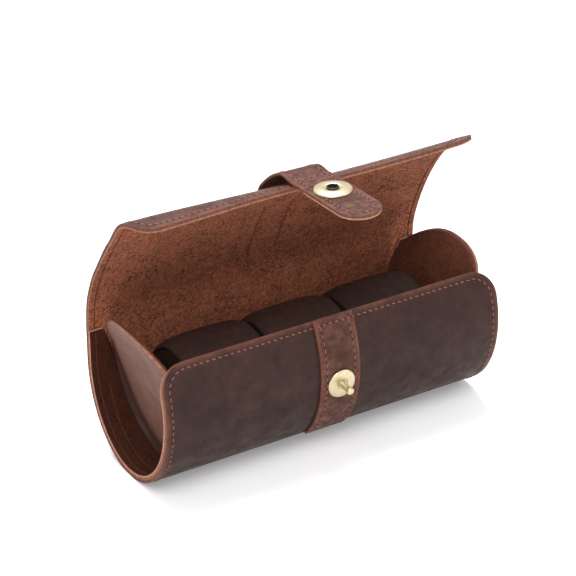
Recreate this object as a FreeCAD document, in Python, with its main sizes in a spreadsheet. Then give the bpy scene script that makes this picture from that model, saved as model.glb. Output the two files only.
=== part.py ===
"""Leather travel case for three watches: a barrel of two-layer leather with a curling lid and a peg closure.

Millimetres. +X runs along the case, +Y to the back, +Z up. The origin is on the flat under the belly, at the
middle of its length and of its width.
"""
import FreeCAD, Part
import Sketcher
import math
import os
from FreeCAD import Placement, Rotation, Vector

doc = FreeCAD.newDocument("WatchTravelCase")
sheet = doc.addObject("Spreadsheet::Sheet", "Dims")

# Driving dimensions, in millimetres and degrees
DIMS = [
    ("case_len", 180.0, "length of the barrel"),
    ("belly_half_w", 37.7, "outer half width of the belly's oval"),
    ("belly_half_ht", 44.4, "outer half height of the belly's oval"),
    ("foot_flat", 0.6, "leather pressed flat under the belly"),
    ("face_t", 1.4, "outer leather"),
    ("lining_t", 1.0, "suede lining"),
    ("front_edge_deg", 38.0, "front edge above the oval's centre"),
    ("back_seam_z", 59.4, "height of the lid's first fold line"),
    ("corner_rad", 13.0, "rounded corners of the front and lid edges"),
    ("cap_t", 1.5, "grain leather of an end cap"),
    ("cap_lining_t", 1.2, "suede behind an end cap"),
    ("band_t", 1.2, "end cap's flange, sewn to the wall"),
    ("band_back_z", 58.9, "top of the flange at the back"),
    ("cap_round_z", 41.2, "centre height of the cap's round top"),
    ("cap_round_rad", 34.6, "radius of the cap's round top"),
    ("cap_foot_inset", 20.6, "cap's fold from the rim, at the bottom"),
    ("cap_mid_inset", 9.4, "cap from the rim, at the middle height"),
    ("cap_mid_z", 58.0, "height where the cap starts to curl out"),
    ("cap_curl_inset", 4.8, "cap from the rim, half way up the curl"),
    ("cap_curl_z", 68.0, "height half way up the curl"),
    ("cap_top_inset", 0.4, "cap from the rim, at its top"),
    ("strap_x", 0.8, "middle of the closure along the case"),
    ("strap_w", 21.0, "width of the straps and the tongue"),
    ("strap_t", 1.6, "thickness of the strap leather"),
    ("strap_low_z", 9.0, "lower end of the front strap"),
    ("strip_1_len", 13.5, "lid, first strip, along the lining"),
    ("strip_2_len", 20.8, "lid, second strip"),
    ("strip_3_len", 20.7, "lid, third strip"),
    ("strip_4_len", 17.8, "lid, fourth strip"),
    ("strip_5_len", 18.6, "lid, strip at the free edge"),
    ("strip_1_turn", 19.0, "turn of the first strip at rest"),
    ("strip_2_turn", 8.0, "turn of the second strip"),
    ("strip_3_turn", 9.0, "turn of the third strip"),
    ("strip_4_turn", 15.0, "turn of the fourth strip"),
    ("strip_5_turn", 28.0, "turn of the strip at the free edge"),
    ("close_1_deg", 35.5, "fold at the first hinge line when shut"),
    ("close_2_deg", 11.5, "fold at the second line"),
    ("close_3_deg", 7.0, "fold at the third line"),
    ("close_4_deg", 8.0, "fold at the fourth line"),
    ("close_5_deg", 28.0, "fold at the free edge's line"),
    ("arch_ht", 5.2, "lid strap's bulge over the lid"),
    ("arch_gap", 1.2, "bulge starts this far past its fold line"),
    ("tab_len", 48.0, "tongue past the free edge"),
    ("tab_gap", 0.6, "tongue from the lid's free edge"),
    ("tab_rest_deg", 177.0, "tongue's direction at rest"),
    ("tab_shut_deg", 2.0, "tongue's own turn when shut"),
    ("tab_seat", 0.4, "tongue's inside below the lid's outside"),
    ("tab_lining_t", 1.4, "tongue's inner layer"),
    ("socket_from_edge", 17.0, "socket's centre from the free edge"),
    ("socket_rad", 8.85, "socket disc"),
    ("socket_flange_t", 0.7, "rim of the socket disc"),
    ("socket_ht", 1.7, "height of the socket disc"),
    ("socket_crown_rad", 7.2, "top of the disc inside its bevel"),
    ("socket_hole_rad", 3.0, "hole in the disc and the leather"),
    ("bush_wall", 1.1, "wall of the black bush"),
    ("back_plate_rad", 6.6, "ring plate under the tongue"),
    ("back_plate_t", 0.8, "thickness of the ring plate"),
    ("fit_gap", 0.05, "sliding gap between metal pieces"),
    ("stud_rad", 7.2, "stud's plate"),
    ("stud_ht", 1.3, "height of the stud's plate"),
    ("stud_recess_rad", 2.7, "recess round the peg"),
    ("stud_recess_deep", 0.6, "depth of that recess"),
    ("peg_rad", 1.15, "peg's shaft"),
    ("peg_head_rad", 1.75, "peg's flared head"),
    ("peg_head_ht", 2.6, "height of the head"),
    ("peg_len", 10.6, "peg from the plate's seat"),
    ("peg_tilt_deg", 3.5, "peg points this much downwards"),
    ("rivet_rad", 1.0, "rivet stem through the leather"),
    ("rivet_head_rad", 4.0, "washer on the lining side"),
    ("rivet_head_t", 0.7, "thickness of the washer"),
    ("pillow_clear", 0.1, "outer pillows to the suede of the end caps"),
    ("pillow_gap", 0.6, "gap between pillows"),
    ("pillow_side_room", 8.7, "pillow to the lining at front and back"),
    ("pillow_top_room", 12.4, "how much less high than the lined oval a pillow is, each way"),
    ("pillow_cover_t", 1.2, "leather round a pillow"),
    ("pillow_end_t", 1.2, "round leather end of a pillow"),
    ("pillow_seat", 0.4, "pillow above the lining"),
    ("overrun", 8.0, "cutting bodies pass the work by this"),
]
for row, (alias, value, note) in enumerate(DIMS, start=1):
    sheet.set("A%d" % row, alias)
    sheet.set("B%d" % row, str(value))
    sheet.set("C%d" % row, note)
    sheet.setAlias("B%d" % row, alias)
doc.recompute()

STRIPS = (1, 2, 3, 4, 5)
STRAPPED_STRIPS = (2, 3)
X_AXIS = Vector(1, 0, 0)
ORIGIN = Vector(0, 0, 0)
parts = []


def size(alias):
    """Value of a driving dimension."""
    return float(sheet.get(alias))


def measure(expression):
    """Number that an expression on the sheet gives."""
    answer = sheet.evalExpression(expression)
    return float(getattr(answer, "Value", answer))


def bind(item, **expressions):
    """Bind properties of an object to expressions on the sheet."""
    for name, expression in expressions.items():
        item.setExpression(name, expression)


def move(item, x="0", y="0", z="0"):
    """Bind the place of an object."""
    for axis, expression in zip("xyz", (x, y, z)):
        item.setExpression(".Placement.Base." + axis, expression + " * 1 mm" if expression == "0" else expression)


def keep(item, label):
    """Name an object as a finished sub-part."""
    item.Label = label
    parts.append(item)
    return item


def box(name, dx, dy, dz, x=None, y="0", z="0"):
    """Block, bound in place where an x is given."""
    item = doc.addObject("Part::Box", name)
    bind(item, Length=dx, Width=dy, Height=dz)
    if x is not None:
        move(item, x, y, z)
    return item


def rod(name, radius, length, x="0", y="0", z="0"):
    """Cylinder along +X."""
    item = doc.addObject("Part::Cylinder", name)
    item.Placement = Placement(ORIGIN, Rotation(Vector(0, 1, 0), 90))
    bind(item, Radius=radius, Height=length)
    move(item, x, y, z)
    return item


def oval(name, half_width, half_height, length, x="0", centre_z="0"):
    """Solid oval cylinder along X, its middle at x."""
    curve = doc.addObject("Part::Ellipse", name + "_curve")
    long_way, short_way = Vector(0, 0, 1), Vector(0, 1, 0)
    if measure(half_width) > measure(half_height):
        long_way, short_way = short_way, long_way
    curve.Placement = Placement(ORIGIN, Rotation(long_way, short_way, long_way.cross(short_way), "XYZ"))
    bind(curve, MajorRadius="max(%s; %s)" % (half_width, half_height),
         MinorRadius="min(%s; %s)" % (half_width, half_height))
    move(curve, x, "0", centre_z)
    item = doc.addObject("Part::Extrusion", name)
    item.Base = curve
    item.DirMode = "Custom"
    item.Dir = X_AXIS
    item.Symmetric = True
    item.Solid = True
    bind(item, LengthFwd=length)
    return item


def pair(kind, name, base, tool):
    """Part::Cut or Part::Common of two objects."""
    item = doc.addObject("Part::" + kind, name)
    item.Base = base
    item.Tool = tool
    return item


def join(name, *items):
    item = doc.addObject("Part::MultiFuse", name)
    item.Shapes = list(items)
    item.Refine = True
    return item


def origin_plane(body, role):
    """One of a body's own origin planes."""
    return [plane for plane in body.Origin.OriginFeatures if plane.Role == role][0]


def outline_sketch(body, role, points):
    """Closed polygon whose corners are bound to pairs of expressions."""
    sketch = body.newObject("Sketcher::SketchObject", body.Name + "_outline")
    sketch.AttachmentSupport = [(origin_plane(body, role), "")]
    sketch.MapMode = "FlatFace"
    corners = [Vector(measure(u), measure(v), 0) for u, v in points]
    for here, there in zip(corners, corners[1:] + corners[:1]):
        sketch.addGeometry(Part.LineSegment(here, there), False)
    count = len(points)
    for index in range(count):
        sketch.addConstraint(Sketcher.Constraint("Coincident", index, 2, (index + 1) % count, 1))
    for index, (u, v) in enumerate(points):
        for kind, expression, value in (("DistanceX", u, corners[index].x), ("DistanceY", v, corners[index].y)):
            if expression == "0":
                axis = -2 if kind == "DistanceX" else -1
                sketch.addConstraint(Sketcher.Constraint("PointOnObject", index, 1, axis))
            else:
                number = sketch.addConstraint(Sketcher.Constraint(kind, -1, 1, index, 1, value))
                sketch.setExpression("Constraints[%d]" % number, expression)
    return sketch


def prism(name, role, points, length):
    """Polygon padded evenly to both sides of its plane."""
    body = doc.addObject("PartDesign::Body", name)
    sketch = outline_sketch(body, role, points)
    pad = body.newObject("PartDesign::Pad", name + "_pad")
    pad.Profile = sketch
    pad.Midplane = True
    bind(pad, Length=length)
    sketch.Visibility = False
    return body


def turning(name, points):
    """Solid of revolution about its own Z, from corners given as (radius, height)."""
    body = doc.addObject("PartDesign::Body", name)
    sketch = outline_sketch(body, "XZ_Plane", points)
    spin = body.newObject("PartDesign::Revolution", name + "_spin")
    spin.Profile = sketch
    spin.ReferenceAxis = (sketch, ["V_Axis"])
    spin.Angle = 360
    return body


def bent_sheet(name, radius, thickness, width, turn, x="0"):
    """Leather bent round X: starts flat against +Y at the radius and turns towards +Z."""
    body = doc.addObject("PartDesign::Body", name)
    half = "(%s) / 2" % width
    corners = [("%s - %s" % (x, half), radius), ("%s + %s" % (x, half), radius),
               ("%s + %s" % (x, half), "%s + %s" % (radius, thickness)),
               ("%s - %s" % (x, half), "%s + %s" % (radius, thickness))]
    sketch = outline_sketch(body, "XY_Plane", corners)
    spin = body.newObject("PartDesign::Revolution", name + "_bend")
    spin.Profile = sketch
    spin.ReferenceAxis = (sketch, ["H_Axis"])
    bind(spin, Angle=turn)
    return body


# The lid's path, as a chain of bends along the lining's inner face

def direction(angle):
    """Unit vector in the YZ plane: 0 points back, 90 points up, 180 points forward."""
    return Vector(0, math.cos(math.radians(angle)), math.sin(math.radians(angle)))


def outward(angle):
    """Outside of the leather that runs along this direction."""
    return direction(angle - 90)


wall_t = size("face_t") + size("lining_t")
centre_z = size("belly_half_ht") - size("foot_flat")


def lid_path(folds):
    """Start, bend centre and direction of each strip, then the free edge, for folds at the hinge lines."""
    spot = Vector(0, size("belly_half_w") - wall_t, size("back_seam_z"))
    angle = 90.0
    strips = []
    for number, fold in zip(STRIPS, folds):
        angle += fold
        turn = size("strip_%d_turn" % number)
        radius = size("strip_%d_len" % number) / math.radians(turn)
        centre = spot - outward(angle) * radius
        strips.append((spot, centre, angle))
        angle += turn
        spot = centre + outward(angle) * radius
    return strips, spot, angle


rest_strips, rest_edge, rest_edge_angle = lid_path([0.0] * len(STRIPS))
shut_strips, shut_edge, shut_edge_angle = lid_path([size("close_%d_deg" % number) for number in STRIPS])


def tab_frame(edge, edge_angle, tab_angle):
    """Tongue's start, at its inner face, and its direction."""
    seat = edge + outward(edge_angle) * wall_t
    return seat + direction(edge_angle) * size("tab_gap") - outward(tab_angle) * size("tab_seat")


tab_angle = size("tab_rest_deg")
tab_start = tab_frame(rest_edge, rest_edge_angle, tab_angle)
pivot_up = size("tab_lining_t") + size("strap_t")
tab_pivot = tab_start + outward(tab_angle) * pivot_up
socket_spot = tab_start + direction(tab_angle) * (size("socket_from_edge") - size("tab_gap"))


def swung(point, pivot, angle):
    """Point turned about a line along X."""
    return Rotation(X_AXIS, angle).multVec(point - pivot) + pivot


# Where the shut tongue carries its socket: the stud stands on the belly on that line
edge_turn = shut_edge_angle - rest_edge_angle
carried = Rotation(X_AXIS, edge_turn)
shut_pivot = shut_edge + carried.multVec(tab_pivot - rest_edge)
shut_socket = shut_edge + carried.multVec(socket_spot - rest_edge)
shut_socket = swung(shut_socket, shut_pivot, size("tab_shut_deg"))
shut_tab_angle = tab_angle + edge_turn + size("tab_shut_deg")
peg_down = math.radians(size("peg_tilt_deg"))
peg_way = Vector(0, -math.cos(peg_down), -math.sin(peg_down))


def on_belly(point, way, proud):
    """Where a line meets the belly's oval, grown by a thickness, on the front."""
    half_w = size("belly_half_w") + proud
    half_ht = size("belly_half_ht") + proud
    away = point.z - centre_z
    a = (way.y / half_w) ** 2 + (way.z / half_ht) ** 2
    b = 2 * (point.y * way.y / half_w ** 2 + away * way.z / half_ht ** 2)
    c = (point.y / half_w) ** 2 + (away / half_ht) ** 2 - 1
    step = (-b + math.sqrt(b * b - 4 * a * c)) / (2 * a)
    return point + way * step


# The flat plate lies on the strap with its middle or, where the belly is flatter, with its rim
inside_point = shut_socket - peg_way * size("belly_half_w")
plate_up = Vector(0, -peg_way.z, peg_way.y)
touching = [on_belly(inside_point + plate_up * reach, peg_way, size("strap_t") + size("fit_gap")) - plate_up * reach
            for reach in (-size("stud_rad"), 0, size("stud_rad"))]
stud_seat = max(touching, key=peg_way.dot)
# The washer lies inside the lining in the same way, and the rivet stem spans the two
resting = [on_belly(inside_point + plate_up * reach, peg_way, -wall_t - size("fit_gap")) - plate_up * reach
           for reach in (-size("rivet_head_rad"), 0, size("rivet_head_rad"))]
washer_seat = min(resting, key=peg_way.dot)
sheet.set("A%d" % (len(DIMS) + 1), "stem_len")
sheet.set("B%d" % (len(DIMS) + 1), str((stud_seat - washer_seat).dot(peg_way) + size("rivet_head_t")))
sheet.set("C%d" % (len(DIMS) + 1), "rivet stem from the stud's seat to the washer's far side, worked out above")
sheet.setAlias("B%d" % (len(DIMS) + 1), "stem_len")
doc.recompute()


def part_of_chain(body, centre, angle):
    """Place a bent sheet on the lid's path."""
    body.Placement = Placement(centre, Rotation(X_AXIS, angle - 90))


# Belly: two layers round the same oval

WALL = "(Dims.face_t + Dims.lining_t)"
CENTRE_Z = "(Dims.belly_half_ht - Dims.foot_flat)"
LONG = "(Dims.case_len + 2 * Dims.overrun)"


def oval_at(name, depth, length="Dims.case_len", x="0"):
    """Oval of the belly, a depth inside its outer face."""
    return oval(name, "Dims.belly_half_w - %s" % depth, "Dims.belly_half_ht - %s" % depth, length, x, CENTRE_Z)


front_angle = math.radians(size("front_edge_deg"))
front_edge = Vector(0, -size("belly_half_w") * math.cos(front_angle),
                    centre_z + size("belly_half_ht") * math.sin(front_angle))
front_slope = math.degrees(math.atan2(math.sin(front_angle) / size("belly_half_ht"),
                                      math.cos(front_angle) / size("belly_half_w")))


def opening_cutters(tag):
    """Two blocks that open the barrel: one above the back wall, one above the front edge."""
    back = box("back_open_" + tag, LONG, "Dims.belly_half_w + Dims.overrun", "Dims.belly_half_ht + Dims.overrun",
               "-(%s) / 2" % LONG, "0", CENTRE_Z)
    front = box("front_open_" + tag, LONG, "Dims.belly_half_w + 2 * Dims.overrun",
                "Dims.belly_half_ht + 2 * Dims.overrun")
    turn = Rotation(X_AXIS, -front_slope)
    corner = front_edge + turn.multVec(Vector(0, -size("overrun"), 0))
    front.Placement = Placement(Vector(-measure(LONG) / 2, corner.y, corner.z), turn)
    return back, front


def opened(name, solid, tag):
    """Remove the opening from a tube."""
    back, front = opening_cutters(tag)
    step = pair("Cut", name + "_back_cut", solid, back)
    return pair("Cut", name + "_front_cut", step, front)


# The rivet passes the strap, the leather and the lining, so each gets its hole
rivet_hole = doc.addObject("Part::Cylinder", "rivet_hole")
bind(rivet_hole, Radius="Dims.rivet_rad + Dims.fit_gap", Height="Dims.stem_len + 2 * Dims.overrun")
stud_base = Vector(size("strap_x"), stud_seat.y, stud_seat.z)
stud_turn = Rotation(Vector(0, 0, 1), peg_way)
off_seam = Rotation(Vector(0, 0, 1), 37)  # keeps the cutting cylinder's seam off the oval's middle
rivet_hole.Placement = Placement(stud_base - peg_way * (measure("Dims.stem_len") + size("overrun")),
                                 stud_turn.multiply(off_seam))


def belly_layer(name, outside, outer_depth, inner_depth):
    """Tube layer with its back wall, drilled for the rivet and opened at the top."""
    tube = pair("Cut", name + "_tube", outside, oval_at(name + "_inside", inner_depth, LONG))
    drilled = pair("Cut", name + "_drilled", tube, rivet_hole)
    half = opened(name, drilled, name)
    wall = box(name + "_back_wall", "Dims.case_len", "%s - %s" % (inner_depth, outer_depth),
               "Dims.back_seam_z - %s" % CENTRE_Z, "-Dims.case_len / 2",
               "Dims.belly_half_w - %s" % inner_depth, CENTRE_Z)
    return join(name + "_joined", half, wall)


def rounded(name, solid, spot, angle):
    """Round both corners of a free edge that lies at a spot, for leather that runs there in a direction."""
    turn = Rotation(X_AXIS, angle - 90)
    through = turn.multiply(Rotation(X_AXIS, -90))
    wedges = []
    for side in (-1, 1):
        tag = "%s_%s" % (name, "left" if side < 0 else "right")
        block = box(tag + "_block", "Dims.corner_rad + Dims.overrun", "2 * Dims.overrun",
                    "Dims.corner_rad + Dims.overrun")
        low_x = size("case_len") / 2 - size("corner_rad") if side > 0 else -size("case_len") / 2 - size("overrun")
        block.Placement = Placement(spot + turn.multVec(Vector(low_x, -size("overrun"), -size("corner_rad"))), turn)
        curve = doc.addObject("Part::Cylinder", tag + "_curve")
        bind(curve, Radius="Dims.corner_rad", Height="4 * Dims.overrun")
        middle = Vector(side * (size("case_len") / 2 - size("corner_rad")), -2 * size("overrun"),
                        -size("corner_rad"))
        curve.Placement = Placement(spot + turn.multVec(middle), through)
        wedges.append(pair("Cut", tag + "_wedge", block, curve))
    step = pair("Cut", name + "_first", solid, wedges[0])
    return pair("Cut", name, step, wedges[1])


foot = box("foot_cut", LONG, "2 * Dims.belly_half_w", "Dims.overrun", "-(%s) / 2" % LONG, "-Dims.belly_half_w",
           "-Dims.overrun")
standing = pair("Cut", "belly_outer_flat", oval_at("belly_outer_outside", "0"), foot)
leather = belly_layer("belly_outer", standing, "0", "Dims.face_t")
lining = belly_layer("belly_inner", oval_at("belly_inner_outside", "Dims.face_t"), "Dims.face_t", WALL)
edge_way = 90 - front_slope
keep(rounded("belly_outer_rounded", leather, front_edge, edge_way), "belly_outer_leather")
keep(rounded("belly_inner_rounded", lining, front_edge, edge_way), "belly_lining")

# End caps: a leaning sheet whose flange lines the wall out to the rim, and suede behind the sheet

END = "Dims.case_len / 2"


def cap_profile(shift):
    """Outer side of the cap in the XZ plane, from below the floor of the belly to above its round top."""
    return [("%s - Dims.cap_foot_inset - %s" % (END, shift), "0"),
            ("%s - Dims.cap_mid_inset - %s" % (END, shift), "Dims.cap_mid_z"),
            ("%s - Dims.cap_curl_inset - %s" % (END, shift), "Dims.cap_curl_z"),
            ("%s - Dims.cap_top_inset - %s" % (END, shift), "Dims.cap_round_z + Dims.cap_round_rad + Dims.cap_t")]


def cap_sheet(name, near, far):
    """Slab between two copies of the cap's profile."""
    points = cap_profile(near) + cap_profile(far)[::-1]
    return prism(name, "XZ_Plane", points, "2 * Dims.belly_half_w")


CAP_DEPTH = "(%s + Dims.band_t)" % WALL


def cap_outline(tag, depth):
    """Room for a cap inside the belly, with a round top."""
    hollow = oval_at("hollow_" + tag, depth, LONG)
    crown = rod("crown_" + tag, "Dims.cap_round_rad", LONG, "-(%s) / 2" % LONG, "0", "Dims.cap_round_z")
    base = box("base_" + tag, LONG, "2 * Dims.belly_half_w", "Dims.cap_round_z", "-(%s) / 2" % LONG,
               "-Dims.belly_half_w", "0")
    return pair("Common", "room_" + tag, hollow, join("rise_" + tag, crown, base))


face = pair("Common", "cap_face", cap_sheet("cap_slab", "0", "Dims.cap_t"), cap_outline("face", WALL))
outside = prism("rim_side", "XZ_Plane", cap_profile("0") + [
    (END, "Dims.cap_round_z + Dims.cap_round_rad + Dims.cap_t"), (END, "0")], "2 * Dims.belly_half_w")
flange = pair("Cut", "flange_tube", oval_at("flange_outside", WALL), oval_at("flange_inside", CAP_DEPTH, LONG))
flange = opened("flange", flange, "flange")
rise = box("flange_rise", "Dims.case_len", "Dims.band_t", "Dims.band_back_z - %s" % CENTRE_Z, "-Dims.case_len / 2",
           "Dims.belly_half_w - %s" % CAP_DEPTH, CENTRE_Z)
flange = pair("Common", "flange_end", join("flange_wall", flange, rise), outside)
cap = join("right_cap", face, flange)
back_suede = pair("Common", "right_cap_suede",
                  cap_sheet("suede_slab", "Dims.cap_t", "(Dims.cap_t + Dims.cap_lining_t)"),
                  cap_outline("suede", WALL))


def mirrored(name, source):
    item = doc.addObject("Part::Mirroring", name)
    item.Source = source
    item.Normal = X_AXIS
    item.Base = ORIGIN
    return item


keep(cap, "right_end_cap")
keep(back_suede, "right_end_cap_lining")
keep(mirrored("left_cap", cap), "left_end_cap")
keep(mirrored("left_cap_suede", back_suede), "left_end_cap_lining")

# Lid: five strips of leather and lining, folded about lines at the lining's inner face

for number, (spot, centre, angle) in zip(STRIPS, rest_strips):
    turn = "Dims.strip_%d_turn" % number
    inner = "Dims.strip_%d_len * 180 / (%s * pi)" % (number, turn)
    layers = (("lid_lining_%d" % number, "0", "Dims.lining_t"),
              ("lid_outer_leather_%d" % number, "Dims.lining_t", "Dims.face_t"))
    for label, depth, thickness in layers:
        body = bent_sheet(label + "_body", "(%s + %s)" % (inner, depth), thickness, "Dims.case_len", turn)
        part_of_chain(body, centre, angle)
        if number == STRIPS[-1]:
            body = rounded(label + "_rounded", body, rest_edge, rest_edge_angle)
        keep(body, label)
    if number in STRAPPED_STRIPS:
        strap = bent_sheet("lid_strap_%d_body" % number, "(%s + %s)" % (inner, WALL), "Dims.strap_t", "Dims.strap_w",
                           turn, "Dims.strap_x")
        part_of_chain(strap, centre, angle)
        keep(strap, "lid_strap_%d" % number)

# Bulge of the lid strap: one leaf rises on the fourth strip, the next falls to the free edge

strip_ends = [spot for spot, centre, angle in rest_strips[1:]] + [rest_edge]
strip_angles = [angle for spot, centre, angle in rest_strips[1:]] + [rest_edge_angle]
rise_from = strip_ends[2] + outward(strip_angles[2]) * wall_t
arch_top = strip_ends[3] + outward(strip_angles[3]) * (wall_t + size("arch_ht"))
fall_to = rest_edge + outward(rest_edge_angle) * wall_t


def leaf(label, start, end, start_gap):
    """Flat strap leaf on the outer side of a line between two points of the YZ plane."""
    way = end - start
    way.normalize()
    slope = math.degrees(math.atan2(way.z, way.y))
    start = start + way * start_gap
    item = doc.addObject("Part::Box", label + "_leaf")
    bind(item, Length="Dims.strap_w", Height="Dims.strap_t")
    item.Width = (end - start).Length
    corner = start + outward(slope) * size("strap_t")
    item.Placement = Placement(Vector(size("strap_x") - size("strap_w") / 2, corner.y, corner.z),
                               Rotation(X_AXIS, slope))
    return keep(item, label)


leaf("lid_strap_4", rise_from, arch_top, size("arch_gap"))
leaf("lid_strap_5", arch_top, fall_to, 0.0)

# Front strap, sewn down the belly under the stud

patch = pair("Cut", "patch_tube", oval_at("patch_outside", "(0 - Dims.strap_t)", "Dims.strap_w", "Dims.strap_x"),
             oval_at("patch_inside", "0", LONG))
patch_block = box("patch_block", LONG, "Dims.belly_half_w + Dims.overrun",
                  "%s + Dims.belly_half_ht * sin(Dims.front_edge_deg * 1 deg) + Dims.overrun / 2 - Dims.strap_low_z"
                  % CENTRE_Z, "-(%s) / 2" % LONG, "-Dims.belly_half_w - Dims.overrun", "Dims.strap_low_z")
patch = pair("Common", "patch_front", patch, patch_block)
patch = pair("Cut", "patch_trimmed", patch, opening_cutters("patch")[1])
keep(pair("Cut", "front_strap_drilled", patch, rivet_hole), "front_strap")

# Stud: plate, peg with its rivet stem, and a washer on the lining

plate = turning("stud_plate_body", [
    ("Dims.rivet_rad + Dims.fit_gap", "0"), ("Dims.stud_rad", "0"), ("Dims.stud_rad", "Dims.stud_ht / 3"),
    ("Dims.stud_rad * 5 / 6", "Dims.stud_ht * 5 / 6"), ("Dims.stud_rad / 2", "Dims.stud_ht"),
    ("Dims.stud_recess_rad", "Dims.stud_ht"),
    ("Dims.stud_recess_rad", "Dims.stud_ht - Dims.stud_recess_deep"),
    ("Dims.rivet_rad + Dims.fit_gap", "Dims.stud_ht - Dims.stud_recess_deep")])
STEM = "Dims.stem_len"
peg = turning("peg_body", [
    ("0", "0"), ("Dims.rivet_rad", "0"), ("Dims.rivet_rad", "%s + Dims.stud_ht - Dims.stud_recess_deep" % STEM),
    ("Dims.peg_rad", "%s + Dims.stud_ht - Dims.stud_recess_deep" % STEM),
    ("Dims.peg_rad", "%s + Dims.peg_len - Dims.peg_head_ht" % STEM),
    ("Dims.peg_head_rad", "%s + Dims.peg_len - Dims.peg_head_ht / 2" % STEM),
    ("Dims.peg_head_rad", "%s + Dims.peg_len - Dims.peg_head_ht / 4" % STEM),
    ("Dims.peg_head_rad / 2", "%s + Dims.peg_len" % STEM), ("0", "%s + Dims.peg_len" % STEM)])
washer = turning("washer_body", [
    ("Dims.rivet_rad + Dims.fit_gap", "0"), ("Dims.rivet_head_rad", "0"),
    ("Dims.rivet_head_rad", "Dims.rivet_head_t"), ("Dims.rivet_rad + Dims.fit_gap", "Dims.rivet_head_t")])
stem_len = measure(STEM)
plate.Placement = Placement(stud_base, stud_turn)
peg.Placement = Placement(stud_base - peg_way * stem_len, stud_turn)
washer.Placement = Placement(stud_base - peg_way * stem_len, stud_turn)
keep(plate, "stud_plate")
keep(peg, "stud_peg")
keep(washer, "stud_washer")

# Tongue: two layers with a round tip, pierced for the socket


def tongue_layer(name, low, thickness):
    """Layer of the tongue, in its own frame: +Y runs to the tip, +Z is its outside."""
    body = doc.addObject("PartDesign::Body", name)
    sketch = body.newObject("Sketcher::SketchObject", name + "_outline")
    sketch.AttachmentSupport = [(origin_plane(body, "XY_Plane"), "")]
    sketch.MapMode = "FlatFace"
    half = size("strap_w") / 2
    straight = size("tab_len") - size("tab_gap") - half
    hole_y = size("socket_from_edge") - size("tab_gap")
    sketch.addGeometry(Part.LineSegment(Vector(-half, 0, 0), Vector(half, 0, 0)), False)
    sketch.addGeometry(Part.LineSegment(Vector(half, 0, 0), Vector(half, straight, 0)), False)
    sketch.addGeometry(Part.ArcOfCircle(Part.Circle(Vector(0, straight, 0), Vector(0, 0, 1), half), 0, math.pi),
                       False)
    sketch.addGeometry(Part.LineSegment(Vector(-half, straight, 0), Vector(-half, 0, 0)), False)
    sketch.addGeometry(Part.Circle(Vector(0, hole_y, 0), Vector(0, 0, 1), size("socket_hole_rad")), False)
    for first, second in (((0, 2), (1, 1)), ((3, 2), (0, 1))):
        sketch.addConstraint(Sketcher.Constraint("Coincident", first[0], first[1], second[0], second[1]))
    for first, second in (((1, 2), (2, 1)), ((2, 2), (3, 1))):
        sketch.addConstraint(Sketcher.Constraint("Tangent", first[0], first[1], second[0], second[1]))
    sketch.addConstraint(Sketcher.Constraint("Vertical", 1))
    sketch.addConstraint(Sketcher.Constraint("Vertical", 3))
    sketch.addConstraint(Sketcher.Constraint("PointOnObject", 0, 1, -1))
    sketch.addConstraint(Sketcher.Constraint("PointOnObject", 0, 2, -1))
    sketch.addConstraint(Sketcher.Constraint("PointOnObject", 2, 3, -2))
    sketch.addConstraint(Sketcher.Constraint("PointOnObject", 4, 3, -2))
    rules = ((Sketcher.Constraint("DistanceX", 0, 1, 0, 2, 2 * half), "Dims.strap_w"),
             (Sketcher.Constraint("DistanceY", -1, 1, 2, 3, straight),
              "Dims.tab_len - Dims.tab_gap - Dims.strap_w / 2"),
             (Sketcher.Constraint("DistanceY", -1, 1, 4, 3, hole_y), "Dims.socket_from_edge - Dims.tab_gap"),
             (Sketcher.Constraint("Radius", 4, size("socket_hole_rad")), "Dims.socket_hole_rad + Dims.fit_gap"))
    for rule, expression in rules:
        number = sketch.addConstraint(rule)
        sketch.setExpression("Constraints[%d]" % number, expression)
    pad = body.newObject("PartDesign::Pad", name + "_pad")
    pad.Profile = sketch
    bind(pad, Length=thickness)
    sketch.Visibility = False
    seat(body, 0.0, low)
    return body


def seat(body, along, up):
    """Place a body on the tongue: along its length and above its inner face."""
    spot = tab_start + direction(tab_angle) * along + outward(tab_angle) * up
    spin = Rotation(Vector(-1, 0, 0), direction(tab_angle), outward(tab_angle), "ZXY")
    body.Placement = Placement(Vector(size("strap_x"), spot.y, spot.z), spin)


socket_along = size("socket_from_edge") - size("tab_gap")
tab_t = size("tab_lining_t") + size("strap_t")
keep(tongue_layer("tab_lining_body", 0.0, "Dims.tab_lining_t"), "tab_lining")
keep(tongue_layer("tab_leather_body", size("tab_lining_t"), "Dims.strap_t"), "tab_outer_leather")

disc = turning("socket_disc_body", [
    ("Dims.socket_hole_rad", "0"), ("Dims.socket_rad", "0"), ("Dims.socket_rad", "Dims.socket_flange_t"),
    ("Dims.socket_crown_rad", "Dims.socket_ht"), ("Dims.socket_hole_rad", "Dims.socket_ht")])
TAB_T = "(Dims.tab_lining_t + Dims.strap_t)"
BUSH_IN = "(Dims.socket_hole_rad - Dims.bush_wall)"
BUSH_OUT = "(Dims.socket_hole_rad - Dims.fit_gap)"
bush = turning("socket_bush_body", [
    (BUSH_IN, "0"), (BUSH_OUT, "0"), (BUSH_OUT, "%s + Dims.socket_ht - Dims.fit_gap" % TAB_T),
    (BUSH_IN, "%s + Dims.socket_ht - Dims.fit_gap" % TAB_T)])
ring = turning("back_plate_body", [
    (BUSH_IN, "0"), ("Dims.back_plate_rad", "0"), ("Dims.back_plate_rad", "Dims.back_plate_t"),
    (BUSH_IN, "Dims.back_plate_t")])
seat(disc, socket_along, tab_t)
seat(bush, socket_along, 0.0)
seat(ring, socket_along, -size("back_plate_t"))
keep(disc, "socket_disc")
keep(bush, "socket_bush")
keep(ring, "socket_back_plate")

# Pillows: foam core, leather round it and a round leather piece at each end

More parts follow.
